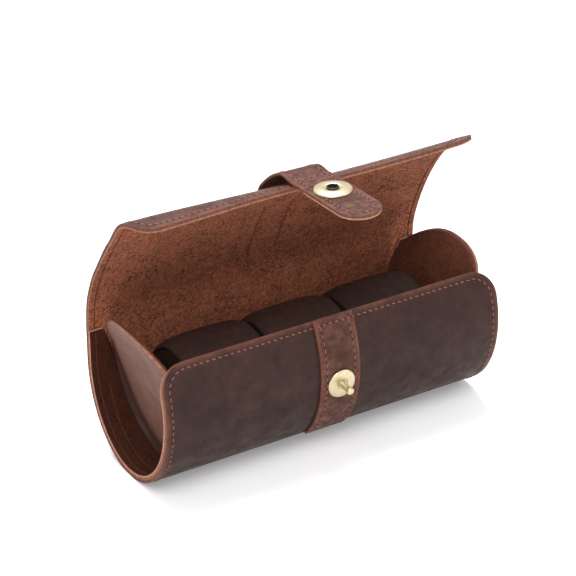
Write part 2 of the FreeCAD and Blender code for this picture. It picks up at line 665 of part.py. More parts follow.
CAP_DEEP = "(Dims.cap_foot_inset + Dims.cap_t + Dims.cap_lining_t + Dims.pillow_clear)"
PILLOW_LEN = "((Dims.case_len - 2 * %s - 2 * Dims.pillow_gap) / 3)" % CAP_DEEP
PILLOW_W = "(Dims.belly_half_w - %s - Dims.pillow_side_room)" % WALL
PILLOW_HT = "(Dims.belly_half_ht - %s - Dims.pillow_top_room)" % WALL
PILLOW_Z = "(%s - Dims.foot_flat + Dims.pillow_seat + %s)" % (WALL, PILLOW_HT)
for place, side in (("left", -1), ("middle", 0), ("right", 1)):
    middle = "%d * (%s + Dims.pillow_gap)" % (side, PILLOW_LEN) if side else "0"
    sleeve_len = "%s - 2 * Dims.pillow_end_t" % PILLOW_LEN
    width = PILLOW_W
    height = PILLOW_HT
    skin = "Dims.pillow_cover_t"
    name = "pillow_" + place
    core = oval(name + "_foam", width + " - " + skin, height + " - " + skin, sleeve_len, middle, PILLOW_Z)
    hollow = oval(name + "_hollow", width + " - " + skin, height + " - " + skin, sleeve_len, middle, PILLOW_Z)
    sleeve = pair("Cut", name + "_sleeve", oval(name + "_outside", width, height, sleeve_len, middle, PILLOW_Z),
                  hollow)
    ends = []
    for end in (-1, 1):
        shift = "%s + %d * (%s - Dims.pillow_end_t) / 2" % (middle, end, PILLOW_LEN)
        ends.append(oval("%s_end_%s" % (name, "low" if end < 0 else "high"), width, height, "Dims.pillow_end_t",
                         shift, PILLOW_Z))
    both = doc.addObject("Part::Compound", name + "_ends")
    both.Links = ends
    keep(core, name + "_core")
    keep(sleeve, name + "_cover")
    keep(both, name + "_end_pieces")

doc.recompute()
for item in doc.Objects:
    if "Invalid" in item.State or "Error" in item.State:
        raise RuntimeError("%s failed: %s" % (item.Label, item.State))
os.makedirs("parts", exist_ok=True)
for item in parts:
    shape = item.Shape
    if shape.isNull() or not shape.isValid() or not shape.Solids:
        raise RuntimeError("bad shape: " + item.Label)
    shape.exportStep("parts/%s.step" % item.Label)
    print("%-26s solids %d  volume %9.1f mm3" % (item.Label, len(shape.Solids), shape.Volume))
print("hinge lines", [(round(s.y, 3), round(s.z, 3), round(a, 2)) for s, c, a in rest_strips])
print("free edge", rest_edge, rest_edge_angle, "tab pivot", tab_pivot)
print("shut edge", shut_edge, shut_edge_angle, "shut socket", shut_socket, shut_tab_angle, "stud", stud_seat)
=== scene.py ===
# %% [markdown]
# # A leather travel case for watches
# The case is cut and sewn from flat leather, so this lesson works as a leatherworker does. Each panel
# is cut flat, gets its thickness and its rounded edge, and is then wrapped round the barrel. The packed
# model gives the bodies that pieces ride on; the parts across the lid's folds stay where they are wrapped.

# %% Load the frame
import bpy
import math
import numpy as np
from contextlib import contextmanager
from mathutils import Matrix, Vector


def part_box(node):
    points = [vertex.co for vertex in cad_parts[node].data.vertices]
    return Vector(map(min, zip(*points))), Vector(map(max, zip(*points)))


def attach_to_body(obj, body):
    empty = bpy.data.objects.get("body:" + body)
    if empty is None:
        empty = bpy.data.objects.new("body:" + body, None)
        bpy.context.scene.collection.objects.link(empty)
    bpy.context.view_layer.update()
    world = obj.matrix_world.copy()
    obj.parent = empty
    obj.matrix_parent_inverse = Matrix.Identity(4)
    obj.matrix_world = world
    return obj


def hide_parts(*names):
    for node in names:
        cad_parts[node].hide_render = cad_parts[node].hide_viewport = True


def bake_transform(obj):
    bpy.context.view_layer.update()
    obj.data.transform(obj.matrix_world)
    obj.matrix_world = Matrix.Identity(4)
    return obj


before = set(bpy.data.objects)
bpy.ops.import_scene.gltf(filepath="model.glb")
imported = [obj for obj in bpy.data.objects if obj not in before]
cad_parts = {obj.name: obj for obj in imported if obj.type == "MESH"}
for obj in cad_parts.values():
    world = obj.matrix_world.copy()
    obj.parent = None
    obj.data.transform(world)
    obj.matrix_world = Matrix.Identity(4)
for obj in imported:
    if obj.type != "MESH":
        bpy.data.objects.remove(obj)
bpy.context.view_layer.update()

# %% [markdown]
# ## Camera
# The photograph looks down at the open case from the front left, from far away with a long lens. The
# camera is set from a target point, two angles and a distance, so each can be changed by itself.

# %% Camera
TARGET = Vector((-0.00369, 0.0, 0.07274))
YAW, ELEVATION, ROLL = math.radians(-31.52), math.radians(28.90), math.radians(-0.26)
DISTANCE = 1.2794
back = Vector((math.sin(YAW) * math.cos(ELEVATION), -math.cos(YAW) * math.cos(ELEVATION), math.sin(ELEVATION)))
right = Vector((math.cos(YAW), math.sin(YAW), 0.0))
up = back.cross(right)
across = right * math.cos(ROLL) + up * math.sin(ROLL)
upward = up * math.cos(ROLL) - right * math.sin(ROLL)
lens = bpy.data.cameras.new("camera")
lens.lens = 172.8
lens.sensor_width = 36.0
lens.clip_start, lens.clip_end = 0.05, 20.0
camera = bpy.data.objects.new("camera", lens)
bpy.context.scene.collection.objects.link(camera)
camera.matrix_world = Matrix.Translation(TARGET + back * DISTANCE) @ Matrix(
    (across, upward, back)).transposed().to_4x4()
bpy.context.scene.camera = camera

# %% [markdown]
# ## Hands for the work
# An operator acts on everything that is selected, so each step first lets go of all objects and then
# takes the one it works on.

# %% Helpers for picking and finishing
MM = 0.001


def take(item):
    """Make one object the only selected and active one."""
    bpy.ops.object.select_all(action="DESELECT")
    bpy.context.view_layer.objects.active = item
    item.select_set(True)


@contextmanager
def editing(item):
    """Edit Mode on one object with all of its mesh selected."""
    take(item)
    bpy.ops.object.mode_set(mode="EDIT")
    bpy.ops.mesh.select_all(action="SELECT")
    yield
    bpy.ops.object.mode_set(mode="OBJECT")


def put(name, data):
    """New object in the scene."""
    item = bpy.data.objects.new(name, data)
    bpy.context.scene.collection.objects.link(item)
    return item


def apply_all(item):
    """Apply all modifiers in their order."""
    take(item)
    for step in list(item.modifiers):
        bpy.ops.object.modifier_apply(modifier=step.name)


def soften(item, width, degrees):
    """Round off the edges that are sharper than an angle."""
    soft = item.modifiers.new("soft edge", "BEVEL")
    soft.width, soft.segments, soft.angle_limit = width, 3, math.radians(degrees)
    apply_all(item)


def points_of(item):
    """Vertex places as an array."""
    flat = np.empty(len(item.data.vertices) * 3)
    item.data.vertices.foreach_get("co", flat)
    return flat.reshape(-1, 3)


def set_points(item, spots):
    """Move every vertex to its place in an array."""
    item.data.vertices.foreach_set("co", np.asarray(spots, float).reshape(-1))
    item.data.update()


def mark_wear_and_painted_light(item, values):
    """Store for every vertex how far its leather blends to a fourth colour, which stands for rubbed wear on some
    pieces and for painted sheen and painted shade on others.
    """
    item.data.attributes.new("wear_and_painted_light", "FLOAT", "POINT").data.foreach_set("value", values)


def smooth(item, degrees=35):
    """Smooth shading, but sharp where faces meet at more than an angle."""
    take(item)
    bpy.ops.object.shade_smooth_by_angle(angle=math.radians(degrees))


# %% [markdown]
# ## The barrel's section
# Everything made of leather follows one line: up the front, under the case, up the back and over the
# lid. A place on it is named by x along the barrel, by s, the distance along the lining from the lid's
# first fold, and by h, the height above the lining. On the belly s is below zero.

# %% The line of the leather
FACE, LINING, STRAP = 1.4 * MM, 1.0 * MM, 1.35 * MM
WALL = FACE + LINING
HALF_W, HALF_HT, MIDDLE_Z, SEAM_Z = 35.3 * MM, 42.0 * MM, 43.8 * MM, 59.4 * MM
HALF_LEN = 90 * MM
STRIP_LEN = np.array([13.5, 20.8, 20.7, 17.8, 18.6]) * MM
STRIP_TURN = np.radians([19.0, 8.0, 9.0, 15.0, 28.0])
FOLDS = np.concatenate([[0], np.cumsum(STRIP_LEN)])
LID_LEN = FOLDS[-1]
BACK_LEN = SEAM_Z - MIDDLE_Z
turns = np.radians(np.linspace(0, -219.5, 4001))
runs = np.hypot(np.diff(HALF_W * np.cos(turns)), np.diff(HALF_HT * np.sin(turns)))
oval_s = -BACK_LEN - np.concatenate([[0], np.cumsum(runs)])
EDGE_TURN = math.radians(-218.0)
FRONT_S = float(np.interp(-EDGE_TURN, -turns, oval_s))
print("belly %.1f mm and lid %.1f mm along the lining" % (-FRONT_S / MM, LID_LEN / MM))


def lid_arcs():
    """Start, angle and bend centre of each strip of the lid."""
    spot, angle, arcs = np.array([HALF_W, SEAM_Z]), math.radians(90), []
    for length, turn in zip(STRIP_LEN, STRIP_TURN):
        radius = length / turn
        out = np.array([math.sin(angle), -math.cos(angle)])
        centre = spot - out * radius
        arcs.append((centre, angle, radius))
        angle += turn
        spot = centre + np.array([math.sin(angle), -math.cos(angle)]) * radius
    return arcs, spot, angle


ARCS, FREE_EDGE, FREE_ANGLE = lid_arcs()


def ease(value):
    """Smooth step from 0 to 1."""
    value = np.clip(value, 0, 1)
    return value * value * (3 - 2 * value)


FLARE = 4.6 * MM

# By x in mm: how much the lid's crest stands up, and how much its free edge droops or flares
crest_rise = np.polyfit([-90, -76, -60, -45, -20, 0, 12, 30, 60, 80, 90],
                        [2.9, 3.0, 2.3, 1.5, 0.9, 0.1, -0.5, -0.8, -0.8, -0.8, -0.8], 5)
edge_rise = np.polyfit([-90, -80, -68, -50, -30, -10, 10, 30, 50, 68, 80, 90],
                       [-0.3, -0.7, -0.8, -0.3, 0.0, 0.3, -0.3, -0.4, -0.5, -0.5, 0.0, 0.6], 6)


def settle(x, s):
    """How far the real leather lies outside the drawn line, for its sag and flare."""
    crest = ease((s / MM - 60) / 19) * (1 - ease((s / MM - 80) / 11.4)) * np.polyval(crest_rise, x / MM)
    edge = ease((s / MM - 79) / 12) * np.polyval(edge_rise, x / MM)
    rim = ease((s / MM - 4) / 14) * (1 - ease((s / MM - 26) / 20)) * ease((-x / MM - 62) / 28) * 1.2
    return (crest + edge + rim) * MM


def barrel(x, s, h):
    """Wrap flat leather: x along the barrel, s along the line, h above the lining."""
    x, s, h = (np.asarray(part, float) for part in (x, s, h))
    h = h + settle(x, s)
    y, z = np.zeros_like(s), np.zeros_like(s)
    belly = s < -BACK_LEN
    turn = np.interp(-s, -oval_s, -turns) * -1
    y[belly] = ((HALF_W + h) * np.cos(turn))[belly]
    z[belly] = (MIDDLE_Z + (HALF_HT + h) * np.sin(turn))[belly]
    wall = (s >= -BACK_LEN) & (s < 0)
    y[wall], z[wall] = (HALF_W + h)[wall], (SEAM_Z + s)[wall]
    for index, (centre, angle, radius) in enumerate(ARCS):
        last = index == len(ARCS) - 1
        here = (s >= FOLDS[index]) & ((s < FOLDS[index + 1]) | last)
        run = np.minimum(s - FOLDS[index], STRIP_LEN[index])
        past = np.maximum(s - LID_LEN, 0) if last else 0
        way = angle + run / radius
        y[here] = (centre[0] + np.sin(way) * (radius + h) + np.cos(way) * past)[here]
        z[here] = (centre[1] - np.cos(way) * (radius + h) + np.sin(way) * past)[here]
    flare = FLARE * ease((x / MM - 52) / 38) * ease((s / MM - 72) / 19)
    return np.stack([x + flare, y, np.maximum(z, 0.0)], -1)


# %% [markdown]
# ## Cutting a panel
# A panel starts as a plane at its size. Its corners are rounded with a vertex bevel, it gets its
# thickness by an extrusion, and a small bevel takes the sharpness off its cut edges. Bisecting it both
# ways gives it the lines on which it can bend.

# %% Flat panels
def cut_lines(item, xs, ss):
    """Cut a piece along lines of x and of s."""
    with editing(item):
        for value, way in [(x, (1, 0, 0)) for x in xs] + [(s, (0, 1, 0)) for s in ss]:
            bpy.ops.mesh.select_all(action="SELECT")
            bpy.ops.mesh.bisect(plane_co=(value * way[0], value * way[1], 0), plane_no=way)


EDGE_ROUND = 0.35 * MM


def panel(name, x0, x1, s0, s1, h0, h1, corner=0.0, edge=EDGE_ROUND, step_x=4.5 * MM, step_s=2.2 * MM,
          rims=()):
    """Flat leather between two values of x, s and h, with one radius for its four corners. Rims are
    extra cut lines at these depths inside its edges, in mm."""
    bpy.ops.object.select_all(action="DESELECT")
    bpy.ops.mesh.primitive_plane_add(size=1, location=((x0 + x1) / 2, (s0 + s1) / 2, h0))
    item = bpy.context.object
    item.name = item.data.name = name
    item.scale = (x1 - x0, s1 - s0, 1)
    bpy.ops.object.transform_apply(location=True, rotation=True, scale=True)
    if corner:
        with editing(item):
            bpy.ops.mesh.bevel(offset=corner, segments=9, affect="VERTICES")
    with editing(item):
        bpy.ops.mesh.extrude_region_move(TRANSFORM_OT_translate={"value": (0, 0, h1 - h0)})
        bpy.ops.mesh.select_all(action="SELECT")
        bpy.ops.mesh.normals_make_consistent(inside=False)
    soften(item, edge, 50)
    lines = []
    for low, high, step in ((x0, x1, step_x), (s0, s1, step_s)):
        count = max(2, round((high - low) / step))
        lines.append(list(np.linspace(low, high, count + 1)[1:-1]) + [low + depth * MM for depth in rims]
                     + [high - depth * MM for depth in rims])
    cut_lines(item, *lines)
    return item


UV_PER_METRE = 10
FACES_UP = 0.9


def finish_panel(item, materials, wrap=barrel, wear_and_painted_light=None):
    """Keep the flat pattern as the UV map, give face, back and edge their materials, wrap the piece."""
    mesh = item.data
    flat = points_of(item)
    if wear_and_painted_light:
        mark_wear_and_painted_light(item, wear_and_painted_light(flat[:, 0], flat[:, 1]))
    layer = mesh.uv_layers.new(name="pattern") if not mesh.uv_layers else mesh.uv_layers[0]
    layer.name = "pattern"
    corner = np.empty(len(mesh.loops), int)
    mesh.loops.foreach_get("vertex_index", corner)
    layer.data.foreach_set("uv", (flat[corner][:, :2] * UV_PER_METRE).reshape(-1))
    mesh.materials.clear()
    for material in materials:
        mesh.materials.append(material)
    normals = np.empty(len(mesh.polygons) * 3)
    mesh.polygons.foreach_get("normal", normals)
    height = normals.reshape(-1, 3)[:, 2]
    mesh.polygons.foreach_set("material_index", np.where(height > FACES_UP, 0, np.where(height < -FACES_UP, 1, 2)))
    set_points(item, wrap(*flat.T))
    smooth(item)


def part_between(source, name, low, high):
    """Copy of a flat piece between two values of s, its cut ends closed."""
    item = put(name, source.data.copy())
    item.data.name = name
    with editing(item):
        for value, outer in ((low, False), (high, True)):
            if value is not None:
                bpy.ops.mesh.select_all(action="SELECT")
                bpy.ops.mesh.bisect(plane_co=(0, value, 0), plane_no=(0, 1, 0), use_fill=True,
                                    clear_outer=outer, clear_inner=not outer)
    return item


# %% [markdown]
# ## Finishes
# Leather is never one colour. A shared group lays broad cloudy patches and fine grain over it, and a
# second one makes the fibres of suede and of raw edges. Each material sets its own colours and scale.

# %% Node helpers
def new_group(name, inputs, outputs):
    """Shader group with its sockets, its input node and its output node."""
    group = bpy.data.node_groups.new(name, "ShaderNodeTree")
    for label, kind, value in inputs:
        socket = group.interface.new_socket(label, in_out="INPUT", socket_type="NodeSocket" + kind)
        if value is not None:
            socket.default_value = value
    for label, kind in outputs:
        group.interface.new_socket(label, in_out="OUTPUT", socket_type="NodeSocket" + kind)
    return group, group.nodes.new("NodeGroupInput"), group.nodes.new("NodeGroupOutput")


def node(tree, kind, links=(), **values):
    """Add a node, set its values, and link or fill its inputs by name or number."""
    item = tree.nodes.new("ShaderNode" + kind)
    for key, value in values.items():
        setattr(item, key, value)
    for socket, source in dict(links).items():
        if isinstance(source, bpy.types.NodeSocket):
            tree.links.new(source, item.inputs[socket])
        else:
            item.inputs[socket].default_value = source
    return item


def maths(tree, operation, first, second, clamp=False):
    return node(tree, "Math", {0: first, 1: second}, operation=operation, use_clamp=clamp).outputs[0]


def blend_of(tree, factor, first, second):
    """Mix two colours. A mix node keeps its colour inputs at 6 and 7, and its colour output at 2."""
    return node(tree, "Mix", {0: factor, 6: first, 7: second}, data_type="RGBA").outputs[2]


def noise(tree, vector, scale, detail=2.0, roughness=0.5, distortion=0.0):
    return node(tree, "TexNoise", {"Vector": vector, "Scale": scale, "Detail": detail, "Roughness": roughness,
                                   "Distortion": distortion}).outputs[0]


def ranged(tree, value, low, high, to_low=0.0, to_high=1.0):
    return node(tree, "MapRange", {"Value": value, "From Min": low, "From Max": high, "To Min": to_low,
                                   "To Max": to_high}).outputs[0]


def tone(red, green, blue):
    """Linear colour from the 0 to 255 values of a screen, all above 10."""
    return tuple(((value / 255 + 0.055) / 1.055) ** 2.4 for value in (red, green, blue)) + (1.0,)


# %% Leather groups
def hide_group():
    """Clouded colour, grain height and a mask of worn places for smooth leather."""
    group, enter, leave = new_group("hide", [
        ("Vector", "Vector", None), ("Base", "Color", tone(80, 55, 50)), ("Dark", "Color", tone(50, 40, 38)),
        ("Light", "Color", tone(115, 80, 70)), ("Cloud size", "Float", 3.0), ("Grain size", "Float", 60.0),
        ("Clouds", "Float", 0.6)],
        [("Color", "Color"), ("Height", "Float"), ("Worn", "Float")])
    given = enter.outputs
    spot, clouds, grain = given["Vector"], given["Cloud size"], given["Grain size"]
    broad = noise(group, spot, clouds, 4.0, 0.62, 0.4)
    middle = noise(group, spot, maths(group, "MULTIPLY", clouds, 5.0), 3.0, 0.7)
    pores = node(group, "TexVoronoi", {"Vector": spot, "Scale": grain, "Randomness": 1.0}).outputs[0]
    fine = noise(group, spot, maths(group, "MULTIPLY", grain, 2.0), 2.0, 0.6)
    worn = ranged(group, middle, 0.35, 0.68)
    pale = maths(group, "MULTIPLY", ranged(group, broad, 0.36, 0.64), given["Clouds"])
    deep = maths(group, "MULTIPLY", maths(group, "SUBTRACT", 1.0, worn, True), given["Clouds"])
    colour = blend_of(group, deep, blend_of(group, pale, given["Base"], given["Light"]), given["Dark"])
    height = maths(group, "ADD", maths(group, "MULTIPLY", pores, 0.5), maths(group, "MULTIPLY", fine, 0.7))
    for label, source in (("Color", colour), ("Height", height), ("Worn", worn)):
        group.links.new(source, leave.inputs[label])
    return group


def nap_group():
    """Fibres of suede and of cut edges: a short, matted pile with streaks of light and dark."""
    group, enter, leave = new_group("nap", [
        ("Vector", "Vector", None), ("Base", "Color", tone(115, 65, 45)), ("Dark", "Color", tone(80, 45, 35)),
        ("Light", "Color", tone(150, 95, 70)), ("Patch size", "Float", 6.0), ("Fibre size", "Float", 140.0)],
        [("Color", "Color"), ("Height", "Float")])
    given = enter.outputs
    spot, fibre = given["Vector"], given["Fibre size"]
    patches = noise(group, spot, given["Patch size"], 5.0, 0.7, 0.8)
    fibres = noise(group, spot, fibre, 3.0, 0.75, 1.2)
    matted = noise(group, spot, maths(group, "MULTIPLY", fibre, 0.5), 2.0, 0.6)
    tufts = maths(group, "MULTIPLY", ranged(group, matted, 0.42, 0.6), 0.27)
    fluff = maths(group, "MULTIPLY", ranged(group, fibres, 0.4, 0.64), 0.6)
    colour = blend_of(group, ranged(group, patches, 0.35, 0.66), given["Dark"], given["Base"])
    colour = blend_of(group, fluff, blend_of(group, tufts, colour, given["Dark"]), given["Light"])
    for label, source in (("Color", colour), ("Height", fibres)):
        group.links.new(source, leave.inputs[label])
    return group


HIDE, NAP = hide_group(), nap_group()


# %% Materials
def material(name):
    """Node material, its tree and its shader."""
    item = bpy.data.materials.new(name)
    item.use_nodes = True
    return item, item.node_tree, item.node_tree.nodes["Principled BSDF"]


def leather(name, base, dark, light, broad, fine, group=HIDE, clouds=0.6, uv=True, rough=0.55, strength=0.25,
            spec=0.35, wear_and_painted_light=None):
    """Smooth leather or suede: three tones, the size of its patches and of its grain or fibres. It lies
    on the flat pattern or, without a UV map, on Object coordinates."""
    item, tree, shader = material(name)
    place = tree.nodes.new("ShaderNodeTexCoord").outputs["UV" if uv else "Object"]
    if not uv:
        place = node(tree, "Mapping", {"Vector": place, "Scale": (UV_PER_METRE,) * 3}).outputs[0]
    skin = tree.nodes.new("ShaderNodeGroup")
    skin.node_tree = group
    tree.links.new(place, skin.inputs["Vector"])
    looks = {"Base": tone(*base), "Dark": tone(*dark), "Light": tone(*light)}
    if group is HIDE:
        looks.update({"Cloud size": broad, "Grain size": fine, "Clouds": clouds})
    else:
        looks.update({"Patch size": broad, "Fibre size": fine})
    for key, value in looks.items():
        skin.inputs[key].default_value = value
    colour = skin.outputs["Color"]
    # The stored mask blends to a fourth colour: rubbed wear on some pieces, painted sheen and painted shade on
    # others.
    if wear_and_painted_light:
        mask = node(tree, "Attribute", attribute_name="wear_and_painted_light", attribute_type="GEOMETRY").outputs["Fac"]
        if uv:
            mask = maths(tree, "MULTIPLY", mask, ranged(tree, skin.outputs["Worn"], 0, 1, 0.45, 1.15), True)
        colour = blend_of(tree, mask, colour, tone(*wear_and_painted_light))
    tree.links.new(colour, shader.inputs["Base Color"])
    bump = node(tree, "Bump", {"Height": skin.outputs["Height"], "Strength": strength, "Distance": 0.25 * MM})
    tree.links.new(bump.outputs[0], shader.inputs["Normal"])
    shader.inputs["Roughness"].default_value = rough
    shader.inputs["Specular IOR Level"].default_value = spec
    if group is HIDE:
        tree.links.new(ranged(tree, skin.outputs["Worn"], 0, 1, rough + 0.12, rough - 0.08),
                       shader.inputs["Roughness"])
    return item


# The case leather's fourth colour is lighter: rubbed wear on its borders, a painted highlight along its cut edges
# and painted sheen over the lid's crest.
case_leather = leather("case leather", (53, 33, 29), (37, 26, 24), (74, 48, 41), 2.4, 90.0, rough=0.5,
                       spec=0.17, wear_and_painted_light=(122, 74, 60))
strap_leather = leather("strap leather", (84, 52, 44), (58, 37, 33), (128, 86, 74), 5.0, 80.0, clouds=0.8,
                        strength=0.3, spec=0.14, wear_and_painted_light=(128, 76, 62))
# The cap leather's fourth colour is dark: painted shade in the fold of the disc.
cap_leather = leather("cap leather", (124, 88, 78), (98, 68, 58), (142, 106, 94), 3.0, 80.0, clouds=0.5,
                      uv=False, spec=0.2, wear_and_painted_light=(58, 32, 25))
pillow_leather = leather("pillow leather", (50, 34, 30), (36, 26, 24), (66, 46, 40), 5.0, 110.0, uv=False,
                         spec=0.15)
suede = leather("suede", (136, 76, 54), (70, 36, 24), (208, 132, 100), 9.0, 75.0, NAP, rough=0.95,
                strength=0.75, spec=0.15)
cap_suede = leather("cap suede", (92, 52, 37), (60, 33, 23), (128, 78, 56), 9.0, 90.0, NAP, uv=False,
                    rough=0.95, strength=0.5, spec=0.15)
raw_edge = leather("raw edge", (158, 106, 84), (108, 68, 52), (190, 138, 112), 30.0, 200.0, NAP, rough=0.85,
                   strength=0.5, spec=0.2)
pale_edge = leather("pale edge", (192, 134, 110), (140, 92, 72), (214, 164, 138), 30.0, 200.0, NAP,
                    rough=0.85, strength=0.5, spec=0.2)
burnished_edge = leather("burnished edge", (104, 64, 52), (66, 42, 34), (146, 94, 76), 30.0, 160.0, NAP,
                         rough=0.7, strength=0.5, spec=0.25)
crease_light = leather("crease", (96, 58, 44), (66, 38, 28), (116, 74, 58), 30.0, 200.0, NAP, rough=0.8,
                       spec=0.2)
band_leather = leather("band leather", (62, 32, 23), (40, 21, 15), (90, 52, 38), 12.0, 110.0, NAP, rough=0.9,
                       strength=0.4, spec=0.08)


def flecked(name, dark, light, scale, rough, detail=2.0, spec=0.5):
    """Plain material that wanders between two tones, with its tree, its shader and what it wanders by."""
    item, tree, shader = material(name)
    flecks = noise(tree, node(tree, "TexCoord").outputs["Object"], scale, detail)
    tree.links.new(blend_of(tree, flecks, tone(*dark), tone(*light)), shader.inputs["Base Color"])
    shader.inputs["Roughness"].default_value = rough
    shader.inputs["Specular IOR Level"].default_value = spec
    return item, tree, shader, flecks


sunk_thread = flecked("sunk thread", (66, 36, 26), (108, 62, 44), 500.0, 0.9, spec=0.1)[0]
# Dark marks between the stitches: painted shade of the stitch holes.
painted_hole_shade = flecked("stitch hole", (24, 16, 14), (44, 28, 24), 300.0, 0.9)[0]
bush_black = flecked("black bush", (20, 18, 18), (38, 34, 34), 400.0, 0.4)[0]
brass, tree, shader, scuffs = flecked("brass", (186, 170, 134), (218, 206, 174), 260.0, 0.3, detail=4.0)
tree.links.new(ranged(tree, scuffs, 0, 1, 0.26, 0.4), shader.inputs["Roughness"])
shader.inputs["Metallic"].default_value = 1.0

thread, tree, shader = material("thread")
twist = node(tree, "TexWave", {"Scale": 900.0, "Distortion": 1.0, "Vector": node(
    tree, "TexCoord").outputs["Object"]}, bands_direction="DIAGONAL")
tree.links.new(blend_of(tree, twist.outputs[1], tone(106, 58, 46), tone(148, 92, 76)), shader.inputs["Base Color"])
shader.inputs["Roughness"].default_value = 0.6

# %% [markdown]
# ## The big sheet
# One sheet of grain leather goes round belly and lid, over one sheet of suede. Both are cut flat in one
# piece with rounded corners. Each is then divided on hidden lines in the middle of the lid's strips.

# %% Outer leather and lining
CORNER = 13 * MM
MID = [(FOLDS[k] + FOLDS[k + 1]) / 2 for k in range(5)]
CUTS = [None, -BACK_LEN, MID[0], MID[1], MID[2], MID[3], None]
BODIES = [("case", None), ("case", "lid_1"), ("lid_1", "lid_2"), ("lid_2", "lid_3"), ("lid_3", "lid_4"),
          ("lid_4", "lid_edge")]
BEND_AT = [None, 0.0, FOLDS[1], FOLDS[2], FOLDS[3], FOLDS[4]]
BEND_HALF = 5.5 * MM


def bend_line(s, wrap=barrel, half=BEND_HALF):
    """Two points on the leather, before and after a fold line."""
    line = wrap(np.zeros(2), np.array([s - half, s + half]), np.zeros(2))
    return tuple(line[0]), tuple(line[1])


def attach(item, index):
    """Ride the belly's part of the sheet on its body. Any other part only gets its fold line worked out, which
    nothing uses, and its transform baked.
    """
    first, second = BODIES[index]
    if second is None:
        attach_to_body(item, first)
    else:
        start, end = bend_line(BEND_AT[index])
        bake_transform(item)


def sheet_wear_and_sheen(x, s):
    """Lighter along the cut edges: a thin painted highlight at the very edge, with a rubbed border inside it.
    Lighter too from the lid's crest on to its free edge: painted sheen.
    """
    rim = np.minimum(HALF_LEN - abs(x), np.minimum(s - FRONT_S, LID_LEN - s)) / MM
    # cut_edge gives the painted highlight, border the rubbed zone and crest the painted sheen.
    cut_edge, border, crest = ease((rim - 0.5) / 1.3), ease((rim - 1) / 5), ease((s / MM - 58) / 14)
    return np.clip(0.42 * (1 - cut_edge) + 0.24 * (1 - border) + 0.32 * crest, 0, 0.8)


for label, h0, h1, stuff in (("outer_leather", LINING, WALL, (case_leather, raw_edge, burnished_edge)),
                             ("lining", 0.0, LINING, (raw_edge, suede, raw_edge))):
    whole = panel(label, -HALF_LEN, HALF_LEN, FRONT_S, LID_LEN, h0, h1, CORNER, rims=(1.0, 2.4))
    for index in range(6):
        piece = part_between(whole, "%s_%d" % (label, index), CUTS[index], CUTS[index + 1])
        finish_panel(piece, stuff, wear_and_painted_light=sheet_wear_and_sheen)
        attach(piece, index)
    bpy.data.objects.remove(whole)
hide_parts("belly_outer_leather")
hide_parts("belly_lining")
for number in range(1, 6):
    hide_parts("lid_outer_leather_%d" % number)
    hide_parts("lid_lining_%d" % number)

# %% [markdown]
# ## End caps
# Each end is closed by a leather disc that leans out at its top. It is one piece with a band that turns
# out along the wall to the rim, where it is sewn. Suede lines the disc on the side of the pillows.

# %% Caps
BAND, BAND_START = 1.2 * MM, 68 * MM
CAP_FACE, CAP_SUEDE = 1.5 * MM, 1.2 * MM
CAP_VERTICES = 112

# Depth of the disc inside the barrel's end, by height, both in mm
cap_curve = np.polyfit([1.0, 16.0, 32.0, 46.0, 58.0, 68.0, 76.0], [20.6, 18.6, 15.9, 13.0, 9.4, 5.0, 0.6], 4)
FOLD_ROUND = 3.0 * MM


def cap_x(z, side):
    """Outer side of the cap along the barrel, by height. The left cap leans out a little more."""
    lean = (0.0 if side > 0 else 1.6) * ease((z / MM - 24) / 50)
    return HALF_LEN - np.polyval(cap_curve, z / MM) * MM + lean * MM


def cap_outline(turn, side):
    """Edge of the disc: the wall's oval below, a lower arch above."""
    sunk = BAND + 0.7 * MM
    wide = HALF_W - sunk + ease(np.sin(turn) / 0.25) * 0.9 * MM
    tall = np.where(np.sin(turn) > 0, (32.2 if side > 0 else 32.8) * MM, HALF_HT - sunk)
    power = np.where(np.cos(turn) > 0, 2.0, 2.5)
    square = (abs(np.cos(turn)) ** power + abs(np.sin(turn)) ** power) ** (-1 / power)
    full = np.where(np.sin(turn) > 0, square, 1)
    forward = (2.5 if side > 0 else 0.5) * MM * ease((np.sin(turn) - 0.5) / 0.4)
    return wide * full * np.cos(turn) - forward, MIDDLE_Z + tall * full * np.sin(turn)


